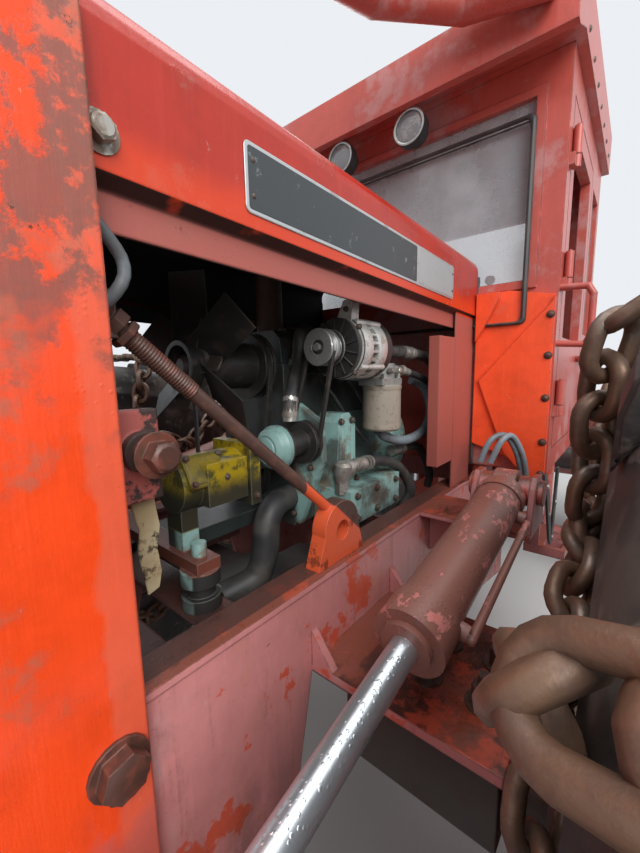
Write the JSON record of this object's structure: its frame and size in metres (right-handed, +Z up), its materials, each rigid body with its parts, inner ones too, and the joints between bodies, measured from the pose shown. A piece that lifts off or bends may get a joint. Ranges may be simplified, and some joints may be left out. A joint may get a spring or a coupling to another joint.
{
  "type": "articulated cable skidder",
  "caption": "Articulated four-wheel forestry skidder with a front blade on lift cylinders, chained front tyres, open engine bay, cab, winch and rear arch.",
  "frame": {"origin": "centre of the machine's box on the floor", "axes": "+Z up, -Y towards the blade, +X to the machine's left"},
  "size_m": [2.8986, 5.38, 2.74],
  "materials": {
    "orange_red_paint": "weathered gloss paint, chipped and scratched",
    "faded_red_paint": "faded paint over rust",
    "dark_steel": "oily dark steel",
    "engine_teal": "oily light teal paint",
    "tinted_glass": "grey tinted glass",
    "seat_vinyl": "black vinyl",
    "black_plastic": "matt black",
    "rusty_pipe": "rust",
    "cylinder_paint": "worn paint over brown steel",
    "chrome_rod": "polished, wet",
    "tyre_rubber": "worn black rubber",
    "chain_steel": "brown-grey oxidised steel"
  },
  "bodies": {
    "front_frame": {"front_frame": "faded_red_paint", "front_axle": "faded_red_paint", "radiator_guard": "orange_red_paint", "radiator": "dark_steel", "hood": "orange_red_paint", "engine": "engine_teal", "engine_drive": "dark_steel", "brace_rod": "dark_steel", "cowl": "orange_red_paint", "cab": "orange_red_paint", "cab_roof": "orange_red_paint", "limb_riser": "orange_red_paint", "cab_glass": "tinted_glass", "seat": "seat_vinyl", "controls": "black_plastic", "steps": "dark_steel", "exhaust": "rusty_pipe", "lamps": "black_plastic"},
    "wheel_front_left": {"tyre_front_left": "tyre_rubber", "rim_front_left": "orange_red_paint", "tyre_chain_left": "chain_steel"},
    "wheel_front_right": {"tyre_front_right": "tyre_rubber", "rim_front_right": "orange_red_paint", "tyre_chain_right": "chain_steel"},
    "wheel_rear_left": {"tyre_rear_left": "tyre_rubber", "rim_rear_left": "orange_red_paint"},
    "wheel_rear_right": {"tyre_rear_right": "tyre_rubber", "rim_rear_right": "orange_red_paint"},
    "door_left": {"door_left": "orange_red_paint"},
    "door_right": {"door_right": "orange_red_paint"},
    "blade": {"blade": "orange_red_paint", "blade_cross_tube": "orange_red_paint"},
    "lift_barrel_left": {"lift_barrel_left": "cylinder_paint"},
    "lift_rod_left": {"lift_rod_left": "chrome_rod"},
    "steer_barrel_left": {"steer_barrel_left": "cylinder_paint"},
    "steer_rod_left": {"steer_rod_left": "chrome_rod"},
    "lift_barrel_right": {"lift_barrel_right": "cylinder_paint"},
    "lift_rod_right": {"lift_rod_right": "chrome_rod"},
    "steer_barrel_right": {"steer_barrel_right": "cylinder_paint"},
    "steer_rod_right": {"steer_rod_right": "chrome_rod"},
    "rear_frame": {"rear_frame": "orange_red_paint", "rear_axle": "orange_red_paint", "arch": "orange_red_paint", "fairlead": "dark_steel", "winch": "orange_red_paint"},
    "winch_drum": {"winch_drum": "dark_steel"}
  },
  "joints": [
    {"name": "wheel_front_left_roll", "type": "hinge", "parent": "front_frame", "child": "wheel_front_left", "pos_m": [1.15, -1.3, 0.824], "axis": [1, 0, 0], "continuous": true},
    {"name": "wheel_front_right_roll", "type": "hinge", "parent": "front_frame", "child": "wheel_front_right", "pos_m": [-1.15, -1.3, 0.824], "axis": [1, 0, 0], "continuous": true},
    {"name": "wheel_rear_left_roll", "type": "hinge", "parent": "rear_frame", "child": "wheel_rear_left", "pos_m": [1.15, 1.6, 0.8], "axis": [1, 0, 0], "continuous": true},
    {"name": "wheel_rear_right_roll", "type": "hinge", "parent": "rear_frame", "child": "wheel_rear_right", "pos_m": [-1.15, 1.6, 0.8], "axis": [1, 0, 0], "continuous": true},
    {"name": "articulation", "type": "hinge", "parent": "front_frame", "child": "rear_frame", "pos_m": [0, 0.15, 0.83], "axis": [0, 0, 1], "range_deg": [-45, 45]},
    {"name": "door_left_swing", "type": "hinge", "parent": "front_frame", "child": "door_left", "pos_m": [0.676, -0.39, 1.8], "axis": [0, 0, -1], "range_deg": [0, 90]},
    {"name": "door_right_swing", "type": "hinge", "parent": "front_frame", "child": "door_right", "pos_m": [-0.676, -0.39, 1.8], "axis": [0, 0, 1], "range_deg": [0, 90]},
    {"name": "blade_lift", "type": "hinge", "parent": "front_frame", "child": "blade", "pos_m": [0, -1.76, 0.6], "axis": [-1, 0, 0], "range_deg": [-8, 45]},
    {"name": "lift_barrel_left_tilt", "type": "hinge", "parent": "front_frame", "child": "lift_barrel_left", "pos_m": [0.62, -0.86, 1.19], "axis": [-1, 0, 0], "range_deg": [-3, 11]},
    {"name": "lift_rod_left_stroke", "type": "slide", "parent": "lift_barrel_left", "child": "lift_rod_left", "axis": [0, -0.9825, -0.1865], "range_m": [-0.42, 0.09]},
    {"name": "steer_barrel_left_swing", "type": "hinge", "parent": "front_frame", "child": "steer_barrel_left", "pos_m": [0.28, -0.49, 0.83], "axis": [0, 0, 1], "range_deg": [-8, 8]},
    {"name": "steer_rod_left_stroke", "type": "slide", "parent": "steer_barrel_left", "child": "steer_rod_left", "axis": [-0.0648, 0.9979, 0], "range_m": [-0.2, 0.2]},
    {"name": "lift_barrel_right_tilt", "type": "hinge", "parent": "front_frame", "child": "lift_barrel_right", "pos_m": [-0.62, -0.86, 1.19], "axis": [-1, 0, 0], "range_deg": [-3, 11]},
    {"name": "lift_rod_right_stroke", "type": "slide", "parent": "lift_barrel_right", "child": "lift_rod_right", "axis": [0, -0.9825, -0.1865], "range_m": [-0.42, 0.09]},
    {"name": "steer_barrel_right_swing", "type": "hinge", "parent": "front_frame", "child": "steer_barrel_right", "pos_m": [-0.28, -0.49, 0.83], "axis": [0, 0, 1], "range_deg": [-8, 8]},
    {"name": "steer_rod_right_stroke", "type": "slide", "parent": "steer_barrel_right", "child": "steer_rod_right", "axis": [0.0648, 0.9979, 0], "range_m": [-0.2, 0.2]},
    {"name": "winch_drum_turn", "type": "hinge", "parent": "rear_frame", "child": "winch_drum", "pos_m": [0, 1.24, 1.34], "axis": [1, 0, 0], "continuous": true}
  ],
  "couplings": [
    {"joint": "lift_barrel_left_tilt", "follows": "blade_lift", "ratio": 0.20781},
    {"joint": "lift_rod_left_stroke", "follows": "blade_lift", "m_per_rad": -0.50314},
    {"joint": "steer_barrel_left_swing", "follows": "articulation", "ratio": 0.11788},
    {"joint": "steer_rod_left_stroke", "follows": "articulation", "m_per_rad": 0.22209},
    {"joint": "lift_barrel_right_tilt", "follows": "blade_lift", "ratio": 0.20781},
    {"joint": "lift_rod_right_stroke", "follows": "blade_lift", "m_per_rad": -0.50314},
    {"joint": "steer_barrel_right_swing", "follows": "articulation", "ratio": 0.11788},
    {"joint": "steer_rod_right_stroke", "follows": "articulation", "m_per_rad": -0.22209}
  ]
}
